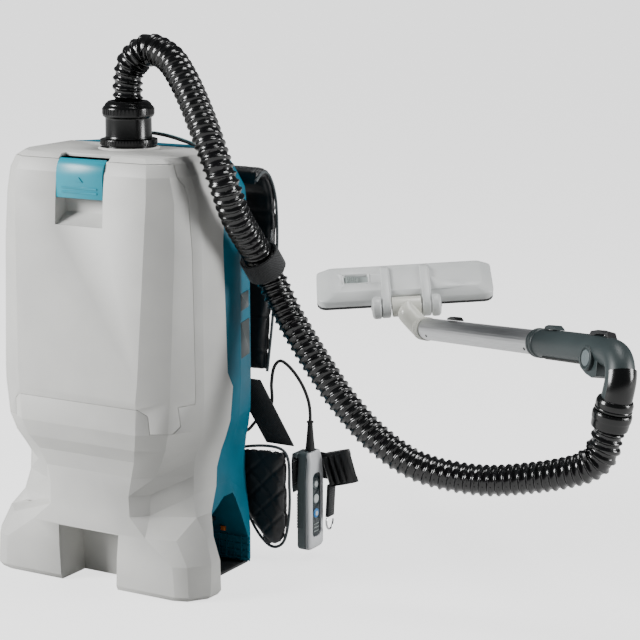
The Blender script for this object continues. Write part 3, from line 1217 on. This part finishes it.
for node, height, material, slot in (("power_button", POWER_HEIGHT, KEY_PALE, "key"),
                                     ("mode_button", MODE_HEIGHT, KEY_PALE, "key"),
                                     ("turbo_button", TURBO_HEIGHT, KEY_BLUE, "key_blue")):
    matrix = turned_at((KEY_FACE, REMOTE_MIDDLE, height), (1, 0, 0))
    size = 0.72 if node == "power_button" else 1.0
    profile = [(r * size, z) for r, z in key_profile]
    finished(lathe(node + "_cap", profile, matrix, material, 0.0004, 32), node, slot, node)
    halo = [(0.0064, -0.0004), (0.0076, -0.0004), (0.0076, 0.0001), (0.0064, 0.0001)]
    finished(lathe(node + "_ring", [(r * (0.5 + size / 2), z) for r, z in halo], matrix, REMOTE_DARK,
                   0.0002, 32),
             "housing", "remote")
bright = [(0.0002, 0.0011), (0.0034, 0.0011), (0.0031, 0.0016), (0.0002, 0.0018)]
finished(lathe("turbo_lens", bright, turned_at((KEY_FACE, REMOTE_MIDDLE, TURBO_HEIGHT), (1, 0, 0)),
               KEY_PALE, 0.0002, 28), "turbo_button", "key")
for step in range(3):
    low = 0.0370 + 0.0050 * step
    mark = slab("level_mark_%d" % step, (REMOTE_MIDDLE - 0.0060, low, 0.1970),
                (REMOTE_MIDDLE + 0.0060, low + 0.0012, 0.1975),
                TO_SIDE, SWITCH_PP, 0.0005)
    finished(mark, "housing", "key")
for column in range(5):
    for row in range(12):
        corner = (0.1792 + 0.0021 * column, REMOTE_LOW.y - 0.0004, 0.0440 + 0.0040 * row)
        pad = slab("grip_pad_%d_%d" % (column, row), corner,
                   (corner[0] + 0.0014, REMOTE_LOW.y + 0.0010, corner[2] + 0.0028),
                   UPRIGHT, REMOTE_DARK, 0.0003, 2)
        finished(pad, "housing", "remote")
rounded("belt_clip", REMOTE_DARK, "remote", 0.0008, 2, 30, "belt_clip_spring")
relief_profile = [(0.0024, 0.0), (0.0062, 0.0), (0.0064, 0.0020), (0.0060, 0.0060), (0.0052, 0.0140),
                  (0.0042, 0.0260),
                  (0.0034, 0.0370), (0.0046, 0.0378), (0.0048, 0.0392), (0.0042, 0.0400), (0.0024, 0.0400)]
finished(lathe("relief_sleeve", relief_profile, turned_at((0.188, 0.135, 0.1473), (0, 0, 1)), BLACK_RUBBER,
               0.0005, 40),
         "housing", "rubber", "cable_relief")
gland_profile = [(0.0024, 0.0), (0.0060, 0.0), (0.0060, 0.0040), (0.0044, 0.0080), (0.0038, 0.0120),
                 (0.0024, 0.0120)]
finished(lathe("gland_sleeve", gland_profile, turned_at((0.104, 0.0925, 0.170), (0, 1, 0)), BLACK_RUBBER,
               0.0005, 32),
         "housing", "rubber", "cable_gland")
print("remote control dressed")

# %% [markdown]
# ## Housing details
# Small parts make a housing read as a product: the latch's embossed mark, seals, screws, the grille, feet,
# the battery bays with their contacts, and blank rating plates. Where the frame's shape is right, it only
# gets rounded edges and its real material.

# %% Latch, seal, plates, grille, feet
LATCH_FACE = -0.1075


def latch_mark(name, outline):
    """A low raised mark on the latch's outer face."""
    rings = [[(x, LATCH_FACE + depth, z) for x, z in outline] for depth in (0.0030, -0.0006)]
    return finished(stacked(name, rings, UPRIGHT, LATCH_ABS), "latch", "latch")


for node, material, slot, width in (("exhaust_grille", BLACK_PP, "black_part", 0.0005),
                                    ("base_plate", BLACK_PP, "black_part", 0.0010),
                                    ("battery_dock_right", BLACK_PP, "black_part", 0.0006),
                                    ("battery_dock_left", BLACK_PP, "black_part", 0.0006),
                                    ("cover_seal", BLACK_RUBBER, "rubber", 0.0008),
                                    ("filter_frame", GREY_ABS, "grey_shell", 0.0005),
                                    ("motor_housing", BLACK_PP, "black_part", 0.0008),
                                    ("back_plate", BLACK_PP, "black_part", 0.0010),
                                    ("buckle_socket", BLACK_PP, "black_part", 0.0012),
                                    ("buckle_tongue", BLACK_PP, "black_part", 0.0010),
                                    ("inlet_duct", BLACK_PP, "black_part", 0.0003),
                                    ("bag_collar", FILTER_PAPER, "filter", 0.0006)):
    rounded(node, material, slot, width, 2, 30, node + "_finished")


# These solids keep their shape and only get a better material.
for node, material in (("latch_pin", STEEL), ("d_ring", STEEL), ("axle", STEEL), ("pipe", ANODISED),
                       ("motor", STEEL), ("impeller", STEEL), ("hepa_filter", FILTER_PAPER),
                       ("control_board", BOARD_GREEN), ("hose_end_cuff", GLOSS_PP)):
    for place in frame["nodes"][node].material_slots:
        place.material = material
sewn_pad("dust_bag", "fleece_bag", BAG_FLEECE, "bag", lambda point: 0.0, crumple=0.0012)
print("small housing parts finished")

# %% Latch mark, blank plates, bay ribs and contacts
latch_mark("latch_triangle", [(-0.0055, 0.5195), (0.0055, 0.5195), (0.0, 0.5255)])
for step in range(2):
    low = 0.5055 + 0.0055 * step
    latch_mark("latch_bar_%d" % step,
               [(-0.0270, low), (0.0270, low), (0.0270, low + 0.0020), (-0.0270, low + 0.0020)])


def bay_panel(side, word):
    """A grid of stiffening ribs on a bay's rear wall, and the charge contact's orange tab."""
    for step in range(8):
        place = side * (0.0560 + 0.0115 * step)
        ends = sorted((place, place + side * 0.0014))
        bar = slab("bay_rib_%s_%d" % (word, step), (ends[0], 0.0610, 0.0060), (ends[1], 0.0638, 0.0390),
                   UPRIGHT, TEAL_ABS,
                   0.0004, 2)
        finished(bar, "housing", "teal_shell")
    for step in range(4):
        low = 0.0080 + 0.0095 * step
        ends = sorted((side * 0.0540, side * 0.1370))
        bar = slab("bay_bar_%s_%d" % (word, step), (ends[0], 0.0614, low), (ends[1], 0.0638, low + 0.0014),
                   UPRIGHT,
                   TEAL_ABS, 0.0004, 2)
        finished(bar, "housing", "teal_shell")
    tab = sorted((side * 0.0960, side * 0.1030))
    contact = slab("bay_contact_" + word, (tab[0], 0.0560, 0.0440), (tab[1], 0.0600, 0.0500), UPRIGHT,
                   CONTACT_ORANGE, 0.0010)
    finished(softened_edges(contact, 0.0006, 2), "housing", "switch")


bay_panel(1, "right")
bay_panel(-1, "left")


def side_plate(name, along, heights, corner=0.0015):
    """A thin blank foil on the teal side's sloping face: its reach along the face, and its heights."""
    facing = Matrix(((-0.27, 0.0, 0.963, 0.1463), (0.963, 0.0, 0.27, 0.0300), (0.0, 1.0, 0.0, 0.0),
                     (0, 0, 0, 1)))
    foil = slab(name, (along[0], heights[0], -0.0006), (along[1], heights[1], 0.0006), facing, PLATE_FOIL,
                corner)
    return finished(softened_edges(foil, 0.0002, 2), "housing", "black_part")


side_plate("blank_plate_upper", (0.0030, 0.0370), (0.3480, 0.3700))
side_plate("blank_plate_lower", (0.0020, 0.0400), (0.2860, 0.3330))

# %% Buckle ribs
BUCKLE_MIDDLE = Vector((0.2220, 0.1600, 0.1225))
BUCKLE_TURN = (Matrix.Translation(BUCKLE_MIDDLE) @ Matrix.Rotation(math.radians(-18), 4, "Y")
               @ Matrix.Translation(-BUCKLE_MIDDLE))
bpy.data.objects["buckle_socket_finished"].data.transform(BUCKLE_TURN)
for step in range(3):
    left = 0.2030 + 0.0105 * step
    rib = slab("buckle_rib_%d" % step, (left, 0.1475 + 0.001 * (2 - step), 0.1035),
               (left + 0.0060, 0.1560, 0.1415), UPRIGHT,
               BLACK_PP, 0.0022)
    rib.data.transform(BUCKLE_TURN)
    finished(softened_edges(rib, 0.0012, 3), "housing", "black_part")
edge_wire = [Vector((0.1992, 0.1555, 0.1010)), Vector((0.1992, 0.1555, 0.1440))]
cord_line("buckle_edge_wire", [BUCKLE_TURN @ point for point in edge_wire], 0.0006, STEEL, "steel")
print("buckle dressed")

tape_section = [(-0.0005, -0.0022), (0.0007, -0.0022), (0.0007, 0.0022), (-0.0005, 0.0022)]
finished(swept("carry_strap_tape", tape_line, lambda share: tape_section, Vector((0, 1, 0)), TEAL_TAPE),
         "housing", "webbing")

# %% [markdown]
# Screws hold the back plate and the base plate. One head with a cross recess is turned once, and Geometry
# Nodes set it on every screw position.

# %% Screws
head_profile_points = [(0.0002, -0.0004), (0.0034, -0.0004), (0.0034, 0.0005), (0.0026, 0.0012),
                       (0.0002, 0.0016)]
screw_head = lathe("screw_head", head_profile_points, UPRIGHT, STEEL, 0.0003, 24)
carved(screw_head,
       slab("slot_one", (-0.0020, -0.0003, 0.0006), (0.0020, 0.0003, 0.01), UPRIGHT, STEEL, 0.0001, 1),
       slab("slot_two", (-0.0003, -0.0020, 0.0006), (0.0003, 0.0020, 0.01), UPRIGHT, STEEL, 0.0001, 1))
screws, given = geometry_tree("screws", [("Screw", "Object"), ("Material", "Material")])
head_shape = add(screws, "GeometryNodeObjectInfo", {"Object": given["Screw"]}).outputs["Geometry"]
seats = add(screws, "GeometryNodeMeshToPoints", {"Mesh": given["Geometry"]}).outputs[0]
end_tree(screws, set_on(screws, seats, head_shape), given["Material"])


def screw_row(name, places, matrix):
    """Screws at (x, y) places in the plane of the matrix."""
    mesh = bpy.data.meshes.new(name + "_seats")
    mesh.from_pydata([(x, y, 0.0) for x, y in places], [], [])
    item = grown(name, placed(name + "_seats", mesh), screws, {"Screw": screw_head, "Material": STEEL})
    item.data.transform(matrix)
    return finished(item, "housing", "steel")


TO_BACK = Matrix(((-1, 0, 0, 0), (0, 0, 1, 0), (0, 1, 0, 0), (0, 0, 0, 1)))
back_places = [(side * 0.086, height) for side in (-1, 1) for height in (0.072, 0.200, 0.330, 0.488)]
screw_row("back_screws", back_places, Matrix.Translation((0, 0.0962, 0)) @ TO_BACK)
base_places = [(side * 0.112, depth) for side in (-1, 1) for depth in (-0.036, 0.020, 0.066)]
screw_row("base_screws", base_places, Matrix.Translation((0, 0, 0.0016)) @ Matrix.Rotation(math.pi, 4, "X"))
bpy.data.objects.remove(screw_head, do_unlink=True)
print("screws:", len(back_places) + len(base_places))

# %% [markdown]
# ## Last checks
# The size before and after dressing is kept beside the scene, to show that nothing has grown out of the
# frame.

# %% Size and finish
low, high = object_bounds()
print("size", [round(c, 4) for c in (high - low)])
